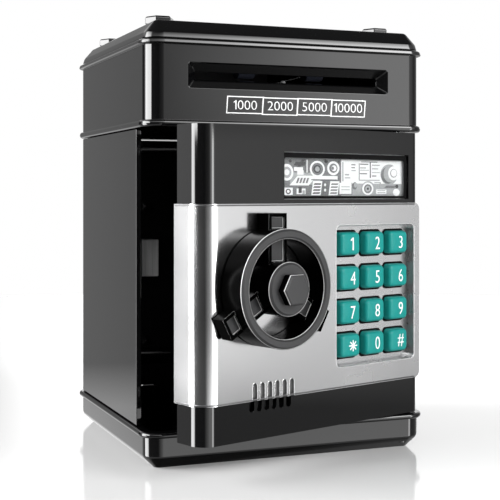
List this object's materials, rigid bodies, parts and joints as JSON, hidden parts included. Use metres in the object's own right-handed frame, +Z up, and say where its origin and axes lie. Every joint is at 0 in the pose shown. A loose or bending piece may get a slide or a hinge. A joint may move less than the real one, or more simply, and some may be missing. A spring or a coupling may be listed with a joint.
{
  "type": "toy safe money bank",
  "caption": "Toy cash-machine savings bank: black cabinet with a hinged safe door, hand-wheel latch, sprung keypad, motor-fed note slot and lid coin slot.",
  "frame": {"origin": "on the underside of the base, below the middle of the cabinet", "axes": "+Z up, -Y towards the front where the door and note slot are, +X to the right seen from the front"},
  "size_m": [0.1348, 0.1728, 0.1933],
  "materials": {
    "black_gloss_plastic": "gloss moulded ABS",
    "black_satin_plastic": "satin moulded ABS",
    "silver_paint": "satin silver sprayed plastic",
    "teal_key_plastic": "moulded keys, printed numerals",
    "clear_window": "clear acrylic",
    "window_print": "grey printed card",
    "roller_rubber": "blue-grey rubber",
    "steel": "bright steel",
    "grey_plastic": "moulded",
    "white_plastic": "moulded acetal",
    "circuit_green": "solder mask",
    "cell_wrap": "printed sleeve, no lettering",
    "copper_coil": "wound coil"
  },
  "bodies": {
    "housing": {"base_plinth": "black_gloss_plastic", "main_shell": "black_gloss_plastic", "head_housing": "black_gloss_plastic", "top_lid": "black_gloss_plastic", "lid_bolt_front_left": "black_gloss_plastic", "lid_bolt_front_right": "black_gloss_plastic", "lid_bolt_rear_left": "black_gloss_plastic", "lid_bolt_rear_right": "black_gloss_plastic", "strike_plate": "grey_plastic", "coin_chute": "grey_plastic", "note_guide": "black_satin_plastic", "bill_sensor": "clear_window", "feed_motor": "steel", "battery_cover": "black_satin_plastic", "battery_cover_screw": "steel", "battery_1": "cell_wrap", "battery_2": "cell_wrap", "battery_3": "cell_wrap", "battery_contact_left": "steel", "battery_contact_right": "steel", "hinge_pin_lower": "steel", "hinge_pin_upper": "steel"},
    "feed": {"feed_shaft": "steel", "feed_wheel_left": "roller_rubber", "feed_wheel_right": "roller_rubber", "feed_gear": "white_plastic"},
    "motor_drive": {"motor_pinion": "white_plastic"},
    "idler": {"idler_roller": "roller_rubber"},
    "door": {"door_shell": "black_gloss_plastic", "faceplate": "silver_paint", "door_back_cover": "black_satin_plastic", "window_lens": "clear_window", "window_card": "window_print", "keypad_sheet": "grey_plastic", "circuit_board": "circuit_green", "speaker": "steel", "solenoid": "copper_coil", "latch_housing": "black_satin_plastic", "door_screw_1": "steel", "door_screw_2": "steel", "door_screw_3": "steel", "door_screw_4": "steel"},
    "knob": {"knob_wheel": "black_gloss_plastic", "knob_hex_bolt": "black_gloss_plastic", "knob_cam": "white_plastic", "knob_pinion": "white_plastic"},
    "latch": {"latch_bolt": "steel"},
    "plunger": {"lock_plunger": "steel"},
    "key_1": {"key_1": "teal_key_plastic"},
    "key_2": {"key_2": "teal_key_plastic"},
    "key_3": {"key_3": "teal_key_plastic"},
    "key_4": {"key_4": "teal_key_plastic"},
    "key_5": {"key_5": "teal_key_plastic"},
    "key_6": {"key_6": "teal_key_plastic"},
    "key_7": {"key_7": "teal_key_plastic"},
    "key_8": {"key_8": "teal_key_plastic"},
    "key_9": {"key_9": "teal_key_plastic"},
    "key_star": {"key_star": "teal_key_plastic"},
    "key_0": {"key_0": "teal_key_plastic"},
    "key_hash": {"key_hash": "teal_key_plastic"}
  },
  "joints": [
    {"name": "door_hinge", "type": "hinge", "parent": "housing", "child": "door", "pos_m": [0.0564, -0.05455, 0.08], "axis": [0, 0, 1], "range_deg": [-18.75, 91.25]},
    {"name": "knob_turn", "type": "hinge", "parent": "door", "child": "knob", "pos_m": [-0.02565, -0.08504, 0.0778], "axis": [0.3214, -0.9469, 0], "range_deg": [0, 90]},
    {"name": "latch_slide", "type": "slide", "parent": "door", "child": "latch", "axis": [-0.9469, -0.3214, 0], "range_m": [0, 0.00943]},
    {"name": "plunger_slide", "type": "slide", "parent": "door", "child": "plunger", "axis": [0, 0, 1], "range_m": [0, 0.0024], "stiffness_N_per_m": 20},
    {"name": "feed_spin", "type": "hinge", "parent": "housing", "child": "feed", "pos_m": [0, -0.046, 0.1584], "axis": [1, 0, 0], "continuous": true},
    {"name": "motor_spin", "type": "hinge", "parent": "housing", "child": "motor_drive", "pos_m": [0.053, -0.03268, 0.1552], "axis": [1, 0, 0], "continuous": true},
    {"name": "idler_spin", "type": "hinge", "parent": "housing", "child": "idler", "pos_m": [0, -0.046, 0.1716], "axis": [1, 0, 0], "continuous": true},
    {"name": "key_1_press", "type": "slide", "parent": "door", "child": "key_1", "axis": [-0.3214, 0.9469, 0], "range_m": [0, 0.0015], "stiffness_N_per_m": 150},
    {"name": "key_2_press", "type": "slide", "parent": "door", "child": "key_2", "axis": [-0.3214, 0.9469, 0], "range_m": [0, 0.0015], "stiffness_N_per_m": 150},
    {"name": "key_3_press", "type": "slide", "parent": "door", "child": "key_3", "axis": [-0.3214, 0.9469, 0], "range_m": [0, 0.0015], "stiffness_N_per_m": 150},
    {"name": "key_4_press", "type": "slide", "parent": "door", "child": "key_4", "axis": [-0.3214, 0.9469, 0], "range_m": [0, 0.0015], "stiffness_N_per_m": 150},
    {"name": "key_5_press", "type": "slide", "parent": "door", "child": "key_5", "axis": [-0.3214, 0.9469, 0], "range_m": [0, 0.0015], "stiffness_N_per_m": 150},
    {"name": "key_6_press", "type": "slide", "parent": "door", "child": "key_6", "axis": [-0.3214, 0.9469, 0], "range_m": [0, 0.0015], "stiffness_N_per_m": 150},
    {"name": "key_7_press", "type": "slide", "parent": "door", "child": "key_7", "axis": [-0.3214, 0.9469, 0], "range_m": [0, 0.0015], "stiffness_N_per_m": 150},
    {"name": "key_8_press", "type": "slide", "parent": "door", "child": "key_8", "axis": [-0.3214, 0.9469, 0], "range_m": [0, 0.0015], "stiffness_N_per_m": 150},
    {"name": "key_9_press", "type": "slide", "parent": "door", "child": "key_9", "axis": [-0.3214, 0.9469, 0], "range_m": [0, 0.0015], "stiffness_N_per_m": 150},
    {"name": "key_star_press", "type": "slide", "parent": "door", "child": "key_star", "axis": [-0.3214, 0.9469, 0], "range_m": [0, 0.0015], "stiffness_N_per_m": 150},
    {"name": "key_0_press", "type": "slide", "parent": "door", "child": "key_0", "axis": [-0.3214, 0.9469, 0], "range_m": [0, 0.0015], "stiffness_N_per_m": 150},
    {"name": "key_hash_press", "type": "slide", "parent": "door", "child": "key_hash", "axis": [-0.3214, 0.9469, 0], "range_m": [0, 0.0015], "stiffness_N_per_m": 150}
  ],
  "couplings": [
    {"joint": "latch_slide", "follows": "knob_turn", "m_per_rad": 0.006},
    {"joint": "motor_spin", "follows": "feed_spin", "ratio": -2.4},
    {"joint": "idler_spin", "follows": "feed_spin", "ratio": -1.48}
  ]
}
